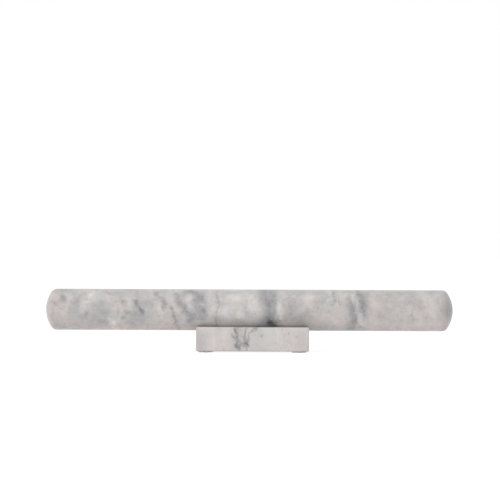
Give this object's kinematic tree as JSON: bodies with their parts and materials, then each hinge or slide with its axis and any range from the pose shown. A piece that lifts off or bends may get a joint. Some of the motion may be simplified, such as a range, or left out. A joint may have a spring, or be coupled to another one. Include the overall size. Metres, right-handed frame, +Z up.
{
  "type": "marble rolling pin with stand",
  "caption": "Handleless marble rolling pin with domed ends, lying in the saddle of a low marble stand on stick-on foot pads.",
  "frame": {"origin": "on the surface that the stand rests on, under the middle of the roller", "axes": "+X along the roller to its right end, -Y towards the front of the stand, +Z up"},
  "size_m": [0.445, 0.065, 0.0676],
  "materials": {
    "roller_marble": "satin",
    "stand_marble": "satin",
    "clear_bumper": "satin",
    "adhesive": "matte"
  },
  "bodies": {
    "stand": {"stand": "stand_marble", "pad_front_left": "clear_bumper", "pad_front_right": "clear_bumper", "pad_back_left": "clear_bumper", "pad_back_right": "clear_bumper", "adhesive_front_left": "adhesive", "adhesive_front_right": "adhesive", "adhesive_back_left": "adhesive", "adhesive_back_right": "adhesive"},
    "roller": {"roller": "roller_marble"}
  },
  "joints": [
    {"name": "roller_lift", "type": "slide", "parent": "stand", "child": "roller", "axis": [0, 0, 1], "range_m": [0, 0.12]}
  ]
}
